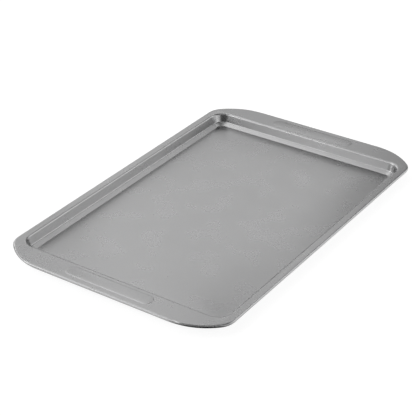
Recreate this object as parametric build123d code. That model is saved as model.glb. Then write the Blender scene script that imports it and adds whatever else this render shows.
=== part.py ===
from build123d import *
from math import atan2, cos, degrees, radians, sin, tan
import os

# A shallow baking sheet pressed from one steel blank, with its edge rolled round a wire.
# The origin is the centre of the floor's underside, X runs through both handles and Z is up.
# All sizes are in millimetres, and all turns are in degrees.

# The sheet and the overall size
sheet_thickness = 0.8
overall_length = 450.0
overall_width = 286.0
depth = 12.8

# The flanges, from the outer edge of the bead to the sharp corner over the wall
handle_flange = 29.3
side_flange = 9.8

# One outer corner: a wide arc leaves the handle's end and a tight one meets the long side
handle_arc_radius = 72.5
side_arc_radius = 22.5
side_arc_turn = 45.0

# The well, at the sharp corner between flange and wall
well_corner_radius = 17.0

# Every corner of the sheet turns the same way, by this much
corner_turn = 90.0

# The wall under the flange, and the shallower band below it that runs out to the floor
wall_lean = 4.0
band_drop = 2.4
band_lean = 6.0

# Bends, measured on the upper face of the sheet
rim_bend = 2.6
wall_foot_bend = 1.8
floor_bend = 1.8

# The wire, whose round section is drawn with flat sides because the curl hides it
wire_diameter = 2.2
wire_sides = 8
wire_end_gap = 1.0

# The curl that holds the wire, and how far it turns from the flange round to its edge
wire_clearance = 0.05
curl_turn = 250.0

# Heights and places that follow from them
up = Vector(0, 0, 1)
rim_top = sheet_thickness + depth
wall_drop = depth - band_drop
curl_bore_radius = wire_diameter / 2 + wire_clearance
bead_radius = curl_bore_radius + sheet_thickness
bead_height = rim_top - bead_radius
handle_arc_turn = corner_turn - side_arc_turn
outer_corner = [(handle_arc_radius, handle_arc_turn), (side_arc_radius, side_arc_turn)]
well_corner = [(well_corner_radius, corner_turn)]
well_length = overall_length - 2 * handle_flange
well_width = overall_width - 2 * side_flange

# The bends use up some flat sheet on each side of their sharp corner
wall_slope = degrees(atan2(wall_drop, wall_lean))
band_slope = degrees(atan2(band_drop, band_lean))
rim_bend_run = rim_bend * tan(radians(wall_slope / 2))
floor_bend_run = floor_bend * tan(radians(band_slope / 2))
flange_seam = rim_bend_run + sheet_thickness
floor_seam = wall_lean + band_lean + floor_bend_run + sheet_thickness


def corner_reach(arcs):
    """How far a corner's arcs reach back from the handle's end, and in from the long side."""
    back = 0
    inward = 0
    angle = 0
    for radius, turn in arcs:
        back += radius * (cos(radians(angle)) - cos(radians(angle + turn)))
        inward += radius * (sin(radians(angle + turn)) - sin(radians(angle)))
        angle += turn
    return back, inward


def outline(length, width, corner, inset):
    """The edges of a flat outline, anticlockwise, drawn a distance inside the given size."""
    arcs = [(radius - inset, turn) for radius, turn in corner]
    back, inward = corner_reach(arcs)
    handle_straight = width - 2 * inset - 2 * inward
    side_straight = length - 2 * inset - 2 * back
    point = Vector(length / 2 - inset, -handle_straight / 2)
    heading = Vector(0, 1)
    edges = []
    for straight, chain in ((handle_straight, arcs), (side_straight, arcs[::-1])) * 2:
        edges.append(Line(point, point + heading * straight))
        for radius, turn in chain:
            edges.append(JernArc(edges[-1] @ 1, edges[-1] % 1, radius, turn))
        point = edges[-1] @ 1
        heading = edges[-1] % 1
    return edges


def carry_round(section, edges):
    """Carries a section, drawn outward and upward from the outline, round every edge of it."""
    runs = []
    for edge in edges:
        heading = edge % 0
        face = Plane(edge @ 0, x_dir=heading.cross(up), z_dir=-heading) * section
        if edge.geom_type == GeomType.LINE:
            runs.append(extrude(face, edge.length, dir=heading))
        else:
            turn = degrees(edge.length / edge.radius)
            runs.append(revolve(face, Axis(edge.arc_center, up), turn))
    return runs


def plate(top, edges, hole_edges=None):
    """A flat piece of the sheet inside one outline and outside another."""
    face = make_face(edges)
    if hole_edges:
        face -= make_face(hole_edges)
    return extrude(Pos(0, 0, top) * face, sheet_thickness, dir=-up)


def wall_section():
    """The sheet from the flange, down the wall, over the band and on to the floor."""
    upper_face = FilletPolyline(
        (flange_seam, rim_top),
        (0, rim_top),
        (-wall_lean, rim_top - wall_drop),
        (-wall_lean - band_lean, sheet_thickness),
        (-floor_seam, sheet_thickness),
        radius=[rim_bend, wall_foot_bend, floor_bend],
    )
    return make_face(upper_face.offset_2d(sheet_thickness, side=Side.LEFT))


def curl_section():
    """The sheet rolled outward, down and back up round the wire, from the flange's edge."""
    outer = JernArc((0, bead_radius), (1, 0), bead_radius, -curl_turn)
    bore = JernArc((0, curl_bore_radius), (1, 0), curl_bore_radius, -curl_turn)
    return make_face([outer, bore, Line(outer @ 0, bore @ 0), Line(outer @ 1, bore @ 1)])


def pressed_pan():
    """Floor, wall, flanges and curl, all of one sheet."""
    bead_line = outline(overall_length, overall_width, outer_corner, bead_radius)
    well_line = outline(well_length, well_width, well_corner, 0)
    flange_line = outline(well_length, well_width, well_corner, -flange_seam)
    floor_line = outline(well_length, well_width, well_corner, floor_seam)
    flange = plate(rim_top, bead_line, flange_line)
    floor = plate(sheet_thickness, floor_line)
    wall = carry_round(wall_section(), well_line)
    curl = carry_round(Pos(0, bead_height) * curl_section(), bead_line)
    return flange.fuse(floor, *wall, *curl).clean()


def rim_wire():
    """The wire inside the bead, with its two ends facing each other on one long side."""
    bead_line = outline(overall_length, overall_width, outer_corner, bead_radius)
    section = Pos(0, bead_height) * RegularPolygon(wire_diameter / 2, wire_sides)
    runs = carry_round(section, bead_line)
    ring = runs[0].fuse(*runs[1:]).clean()
    gap = Box(wire_end_gap, wire_diameter + wire_clearance, wire_diameter + wire_clearance)
    return ring - Pos(0, overall_width / 2 - bead_radius, bead_height) * gap


os.makedirs("parts", exist_ok=True)
export_step(pressed_pan(), "parts/pressed_pan.step")
export_step(rim_wire(), "parts/rim_wire.step")
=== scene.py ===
from math import cos, pi, radians, sin, tan

import bmesh
import bpy
from mathutils import Matrix, Vector


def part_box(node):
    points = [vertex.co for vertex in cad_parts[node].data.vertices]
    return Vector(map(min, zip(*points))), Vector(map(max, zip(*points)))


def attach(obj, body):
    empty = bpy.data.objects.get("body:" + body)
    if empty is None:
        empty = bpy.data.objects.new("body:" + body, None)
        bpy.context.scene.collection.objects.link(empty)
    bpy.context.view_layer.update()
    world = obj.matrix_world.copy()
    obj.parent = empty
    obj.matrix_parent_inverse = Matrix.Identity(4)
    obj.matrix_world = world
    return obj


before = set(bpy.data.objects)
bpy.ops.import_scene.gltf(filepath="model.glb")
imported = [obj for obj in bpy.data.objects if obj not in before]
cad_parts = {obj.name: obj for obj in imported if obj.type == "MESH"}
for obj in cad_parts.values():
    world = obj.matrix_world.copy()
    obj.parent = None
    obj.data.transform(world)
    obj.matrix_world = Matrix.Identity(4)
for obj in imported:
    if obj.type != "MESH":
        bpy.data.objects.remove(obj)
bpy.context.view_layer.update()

# A satin grey non-stick cookie sheet on a plain white table.
# Lengths are in metres, apart from the camera's two lens sizes, and angles are in degrees.
# Azimuth 0 is the direction of -Y and 90 that of +X; elevation is above the table.
mm = 0.001
rim_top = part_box("pressed_pan")[1].z
half_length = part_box("pressed_pan")[1].x
half_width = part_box("pressed_pan")[1].y

# The flat floor ends at the foot of the wall, which stands inside the flanges
handle_flange = 29.3 * mm
side_flange = 9.8 * mm
wall_run = 10 * mm
floor_half_length = half_length - handle_flange - wall_run
floor_half_width = half_width - side_flange - wall_run

# How far the handles and the side flanges reach in from the rim, before the bend over the wall
handle_reach = 27 * mm
side_reach = 8 * mm
handle_start = half_length - handle_reach
side_start = half_width - side_reach

# The floor's crown: how high it stands, how wide its fall is, and how its corners are rounded
crown_height = 2.0 * mm
crown_run = 65 * mm
crown_rounding = 30 * mm

# How steeply the handles and the side flanges fall outwards
handle_fall = 1.6
side_fall = 1.2

# The plain oblong on each handle, and how far its centre is from the middle of the pan
stamp_length = 112 * mm
stamp_width = 16 * mm
stamp_segments = 48
stamp_root = 0.3 * mm
stamp_reach = 209 * mm

# The oblong's sloped side in three steps, each with how far it goes in and how far up
stamp_slope = ((0.4 * mm, 0.03 * mm), (0.5 * mm, 0.1 * mm), (0.4 * mm, 0.03 * mm))

# The camera, as the photograph's vanishing points give it, with its lens sizes in millimetres
view_azimuth = -55.9
view_elevation = 30.19
view_distance = 1.518
focal_length = 114.12
sensor_width = 36.0

# How far the middle of the rim is to the right of the picture's middle, and above it
view_aside = 0.01437
view_above = 0.00719

# The table, just clear of the base, because two faces at one height show through each other
table_half_size = 6.0
table_gap = 0.1 * mm
table_glow = 0.87

# The brightness of the room between the lamps
room_level = 0.05

# The dark card on the table, beside the nearest corner
card_half_size = 80 * mm
card_place = (-270 * mm, -180 * mm, 0.3 * mm)

# The softboxes, named as the camera sees them: azimuth, elevation, width, height and brightness.
# Most brightnesses are fitted to the photograph; overhead and camera_side light the other views.
softbox_distance = 5.0
softboxes = {
    "left": (190, 20, 56, 22, 1.65),
    "left_high": (225, 38, 40, 32, 2.0),
    "left_low": (245, 7, 10, 14, 2.07),
    "back_left": (152, 24, 18, 24, 1.56),
    "back_low_1": (106, 17, 18, 14, 0.6),
    "back_low_2": (124, 17, 18, 14, 0.43),
    "back_low_3": (142, 17, 18, 14, 0.86),
    "back_1": (106, 31, 18, 14, 0.16),
    "back_2": (124, 31, 18, 14, 1.06),
    "back_3": (142, 31, 18, 14, 0.26),
    "back_high_1": (97, 48, 26, 18, 1.06),
    "back_high_2": (120, 45, 18, 14, 0.2),
    "back_high_3": (142, 45, 22, 14, 0.61),
    "top": (162, 56, 40, 20, 1.32),
    "overhead": (214, 86, 36, 36, 0.6),
    "back_top": (95, 64, 50, 14, 0.14),
    "right": (350, 20, 50, 40, 0.65),
    "right_back": (40, 25, 44, 34, 1.02),
    "right_hot": (42, 28, 26, 20, 0.73),
    "right_far": (66, 10, 20, 20, 1.11),
    "right_low": (20, 4, 90, 8, 0.73),
    "camera_side": (296, 38, 70, 26, 0.45),
    "corner_left": (216, 8, 14, 12, 1.65),
    "corner_right": (352, 5, 24, 14, 1.2),
}


def direction(azimuth, elevation):
    """The unit vector that points away from the object at this azimuth and elevation."""
    turn = radians(azimuth)
    rise = radians(elevation)
    return Vector((sin(turn) * cos(rise), -cos(turn) * cos(rise), sin(rise)))


def aimed(place, back):
    """A matrix at a place, looking against the vector back, with its own X level."""
    right = Vector((0, 0, 1)).cross(back).normalized()
    axes = Matrix((right, back.cross(right), back)).transposed()
    return Matrix.Translation(place) @ axes.to_4x4()


def add_camera():
    """The camera at the photograph's angle, moved aside so that it frames the sheet alike."""
    back = direction(view_azimuth, view_elevation)
    offset = Vector((-view_aside, -view_above, view_distance))
    place = aimed(Vector(), back) @ offset + Vector((0, 0, rim_top))
    data = bpy.data.cameras.new("camera")
    data.sensor_width = sensor_width
    data.lens = focal_length
    camera = bpy.data.objects.new("camera", data)
    camera.matrix_world = aimed(place, back)
    bpy.context.scene.collection.objects.link(camera)
    bpy.context.scene.camera = camera


def linear(colour):
    """An sRGB hex colour as the linear RGBA that a shader socket takes."""
    parts = [int(colour[i:i + 2], 16) / 255 for i in (1, 3, 5)]
    return [c / 12.92 if c <= 0.04045 else ((c + 0.055) / 1.055) ** 2.4 for c in parts] + [1]


def node(tree, kind, settings=None, inputs=None):
    """Adds one shader node; an input is a value, a socket, or a node whose first output feeds it."""
    made = tree.nodes.new("ShaderNode" + kind)
    for name, value in (settings or {}).items():
        setattr(made, name, value)
    for name, value in (inputs or {}).items():
        if isinstance(value, bpy.types.Node):
            tree.links.new(value.outputs[0], made.inputs[name])
        elif isinstance(value, bpy.types.NodeSocket):
            tree.links.new(value, made.inputs[name])
        else:
            made.inputs[name].default_value = value
    return made


def new_material(name):
    """A node material with an empty tree, and that tree."""
    material = bpy.data.materials.new(name)
    material.use_nodes = True
    material.node_tree.nodes.clear()
    return material, material.node_tree


def sheet_swell(tree, place):
    """The height, in metres, of the slow swells that pressing leaves in the flat parts.

    The floor is crowned, and falls towards its edge all round. The handles fall to their ends,
    and the side flanges fall outwards.
    """
    axes = node(tree, "SeparateXYZ", inputs={"Vector": place})
    along = node(tree, "Math", {"operation": "ABSOLUTE"}, {0: axes.outputs["X"]})
    across = node(tree, "Math", {"operation": "ABSOLUTE"}, {0: axes.outputs["Y"]})
    from_end = node(tree, "Math", {"operation": "SUBTRACT"}, {0: floor_half_length, 1: along})
    from_side = node(tree, "Math", {"operation": "SUBTRACT"}, {0: floor_half_width, 1: across})
    from_edge = node(tree, "Math", {"operation": "SMOOTH_MIN"}, {
        0: from_end,
        1: from_side,
        2: crown_rounding,
    })
    share = node(tree, "MapRange", inputs={
        "Value": from_edge,
        "From Max": crown_run,
        "To Min": 1.0,
        "To Max": 0.0,
    })
    bow = node(tree, "Math", {"operation": "POWER"}, {0: share, 1: 2.0})
    height = node(tree, "Math", {"operation": "MULTIPLY"}, {0: bow, 1: -crown_height})
    for distance, start, fall in ((along, handle_start, handle_fall), (across, side_start, side_fall)):
        past = node(tree, "Math", {"operation": "SUBTRACT"}, {0: distance, 1: start})
        run = node(tree, "Math", {"operation": "MAXIMUM"}, {0: past, 1: 0.0})
        drop = node(tree, "Math", {"operation": "MULTIPLY"}, {0: run, 1: -tan(radians(fall))})
        height = node(tree, "Math", {"operation": "ADD"}, {0: height, 1: drop})
    return height


def coated_steel():
    """Pressed steel under a sprayed and baked grey non-stick coating.

    Metal flake in the coating gives it a satin metallic sheen. The spray dries with a faint
    orange peel and an uneven gloss, so reflections are soft and a little grainy.
    """
    material, tree = new_material("coated_steel")
    place = node(tree, "TexCoord").outputs["Object"]
    # The real flake is some 0.05 mm; it is drawn coarser, so that it shows at this distance
    flake_size = 0.9 * mm
    flake = node(tree, "TexNoise", inputs={"Vector": place, "Scale": 1 / flake_size, "Detail": 2.0})
    shade = node(tree, "ValToRGB", inputs={"Fac": flake.outputs["Fac"]})
    shade.color_ramp.elements[0].color = linear("#ABABAC")
    shade.color_ramp.elements[0].position = 0.3
    shade.color_ramp.elements[1].color = linear("#B1B1B1")
    shade.color_ramp.elements[1].position = 0.7
    # The gloss changes slowly, as the spray gun's passes overlap
    pass_size = 35 * mm
    glossiest = 0.26
    dullest = 0.3
    spray = node(tree, "TexNoise", inputs={"Vector": place, "Scale": 1 / pass_size, "Detail": 3.0})
    gloss = node(tree, "MapRange", inputs={
        "Value": spray.outputs["Fac"],
        "From Min": 0.3,
        "From Max": 0.7,
        "To Min": glossiest,
        "To Max": dullest,
    })
    # The swell is a height in metres, so its bump has a distance of 1
    swell = node(tree, "Bump", inputs={"Height": sheet_swell(tree, place), "Distance": 1.0})
    peel_size = 1.4 * mm
    peel_height = 0.002 * mm
    peel = node(tree, "TexNoise", inputs={"Vector": place, "Scale": 1 / peel_size, "Detail": 1.0})
    bump = node(tree, "Bump", inputs={
        "Height": peel.outputs["Fac"],
        "Distance": peel_height,
        "Normal": swell.outputs["Normal"],
    })
    surface = node(tree, "BsdfPrincipled", inputs={
        "Base Color": shade.outputs["Color"],
        "Metallic": 1.0,
        "Roughness": gloss.outputs["Result"],
        "Normal": bump.outputs["Normal"],
    })
    node(tree, "OutputMaterial", inputs={"Surface": surface})
    return material


def drawn_wire():
    """Plain steel wire, drawn through a die, which leaves it bright with fine lengthwise lines."""
    material, tree = new_material("drawn_wire")
    place = node(tree, "TexCoord").outputs["Object"]
    # The lines run level round the sheet, so the pattern is long across and fine in height
    line_length = 25 * mm
    line_width = 0.15 * mm
    line_height = 0.01 * mm
    fine = node(tree, "Mapping", inputs={
        "Vector": place,
        "Scale": (1 / line_length, 1 / line_length, 1 / line_width),
    })
    lines = node(tree, "TexNoise", inputs={"Vector": fine, "Scale": 1.0, "Detail": 2.0})
    shade = node(tree, "ValToRGB", inputs={"Fac": lines.outputs["Fac"]})
    shade.color_ramp.elements[0].color = linear("#A8A6A2")
    shade.color_ramp.elements[0].position = 0.35
    shade.color_ramp.elements[1].color = linear("#C4C2BE")
    shade.color_ramp.elements[1].position = 0.65
    bump = node(tree, "Bump", inputs={"Height": lines.outputs["Fac"], "Distance": line_height})
    surface = node(tree, "BsdfPrincipled", inputs={
        "Base Color": shade.outputs["Color"],
        "Metallic": 1.0,
        "Roughness": 0.35,
        "Normal": bump.outputs["Normal"],
    })
    node(tree, "OutputMaterial", inputs={"Surface": surface})
    return material


def white_table():
    """A matt white table top, which shows white round the sheet and still takes its shadow.

    It is clear from below, so that the underside of the sheet can be looked at through it.
    """
    material, tree = new_material("white_table")
    path = node(tree, "LightPath").outputs
    seen = node(tree, "Math", {"operation": "MAXIMUM"}, {
        0: path["Is Camera Ray"],
        1: path["Is Glossy Ray"],
    })
    any_seen = node(tree, "Math", {"operation": "MAXIMUM"}, {0: seen, 1: path["Is Transmission Ray"]})
    glow = node(tree, "Math", {"operation": "MULTIPLY"}, {0: any_seen, 1: table_glow})
    white = node(tree, "Emission", inputs={"Color": linear("#FFFFFF"), "Strength": glow})
    matt = node(tree, "BsdfDiffuse", inputs={"Color": linear("#909090")})
    above = node(tree, "AddShader", inputs={0: white, 1: matt})
    below = node(tree, "BsdfTransparent")
    from_below = node(tree, "NewGeometry").outputs["Backfacing"]
    surface = node(tree, "MixShader", inputs={0: from_below, 1: above, 2: below})
    node(tree, "OutputMaterial", inputs={"Surface": surface})
    return material


def dark_card():
    """Plain dark card, with no sheen."""
    material, tree = new_material("dark_card")
    surface = node(tree, "BsdfDiffuse", inputs={"Color": linear("#202020")})
    node(tree, "OutputMaterial", inputs={"Surface": surface})
    return material


def finish_node(name, material):
    """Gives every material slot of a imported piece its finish."""
    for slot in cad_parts[name].material_slots:
        slot.material = material


def placed(name, shape, material):
    """A finished shape as an object in the scene, in one material."""
    mesh = bpy.data.meshes.new(name)
    shape.to_mesh(mesh)
    shape.free()
    mesh.materials.append(material)
    made = bpy.data.objects.new(name, mesh)
    bpy.context.scene.collection.objects.link(made)
    return made


def square(half_size):
    """A flat square that faces up."""
    shape = bmesh.new()
    bmesh.ops.create_grid(shape, x_segments=1, y_segments=1, size=half_size)
    return shape


def add_stamp(name, centre, material):
    """A plain low oblong, pressed up in the middle of a handle, with gently sloped sides."""
    shape = bmesh.new()
    # Half a step of turn keeps every corner clear of the line where the two ends are parted
    half_step = Matrix.Rotation(pi / stamp_segments, 4, "Z")
    bmesh.ops.create_circle(shape, cap_ends=True, segments=stamp_segments, radius=stamp_width / 2,
                            matrix=half_step)
    half_straight = (stamp_length - stamp_width) / 2
    for corner in shape.verts:
        corner.co.y += half_straight if corner.co.y > 0 else -half_straight
    lower = bmesh.ops.extrude_face_region(shape, geom=shape.faces[:], use_keep_orig=True)["geom"]
    root = [item for item in lower if isinstance(item, bmesh.types.BMVert)]
    bmesh.ops.translate(shape, verts=root, vec=(0, 0, -stamp_root))
    bmesh.ops.recalc_face_normals(shape, faces=shape.faces)
    top = max(shape.faces, key=lambda each: each.calc_center_median().z)
    for inward, upward in stamp_slope:
        bmesh.ops.inset_region(shape, faces=[top], thickness=inward, depth=upward)
    bmesh.ops.translate(shape, verts=shape.verts, vec=centre)
    for face in shape.faces:
        face.smooth = True
    stamp = placed(name, shape, material)
    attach(stamp, "root")


def add_table():
    """The plain white table under the sheet."""
    table = placed("table", square(table_half_size), white_table())
    table.location.z = -table_gap


def add_dark_card():
    """A dark card on the table by the nearest corner, which only the rim's reflections show."""
    card = placed("dark_card", square(card_half_size), dark_card())
    card.location = card_place
    card.rotation_euler.z = radians(view_azimuth)
    card.visible_camera = False
    card.visible_diffuse = False
    card.visible_shadow = False
    card.visible_transmission = False


def add_softbox(name, azimuth, elevation, wide, high, level):
    """A soft lamp that looks this many degrees wide and high from the object, and this bright."""
    data = bpy.data.lights.new(name, "AREA")
    data.shape = "RECTANGLE"
    data.size = 2 * softbox_distance * tan(radians(wide / 2))
    data.size_y = 2 * softbox_distance * tan(radians(high / 2))
    data.energy = level * pi * data.size * data.size_y
    lamp = bpy.data.objects.new(name, data)
    back = direction(azimuth, elevation)
    lamp.matrix_world = aimed(back * softbox_distance, back)
    lamp.visible_camera = False
    bpy.context.scene.collection.objects.link(lamp)


def add_world():
    """The room round the lamps: white to the camera, and a dim even grey to everything else."""
    world = bpy.data.worlds.new("room")
    world.use_nodes = True
    tree = world.node_tree
    tree.nodes.clear()
    path = node(tree, "LightPath").outputs
    room = node(tree, "Background", inputs={"Color": linear("#FFFFFF"), "Strength": room_level})
    white = node(tree, "Background", inputs={"Color": linear("#FFFFFF"), "Strength": 1.0})
    surface = node(tree, "MixShader", inputs={0: path["Is Camera Ray"], 1: room, 2: white})
    node(tree, "OutputWorld", inputs={"Surface": surface})
    bpy.context.scene.world = world


add_camera()
bpy.context.scene.view_settings.view_transform = "Standard"
coating = coated_steel()
finish_node("pressed_pan", coating)
finish_node("rim_wire", drawn_wire())
for side, end_x in (("left", -stamp_reach), ("right", stamp_reach)):
    add_stamp("handle_stamp_" + side, Vector((end_x, 0, rim_top)), coating)
add_table()
add_world()
for name, settings in softboxes.items():
    add_softbox(name, *settings)
add_dark_card()
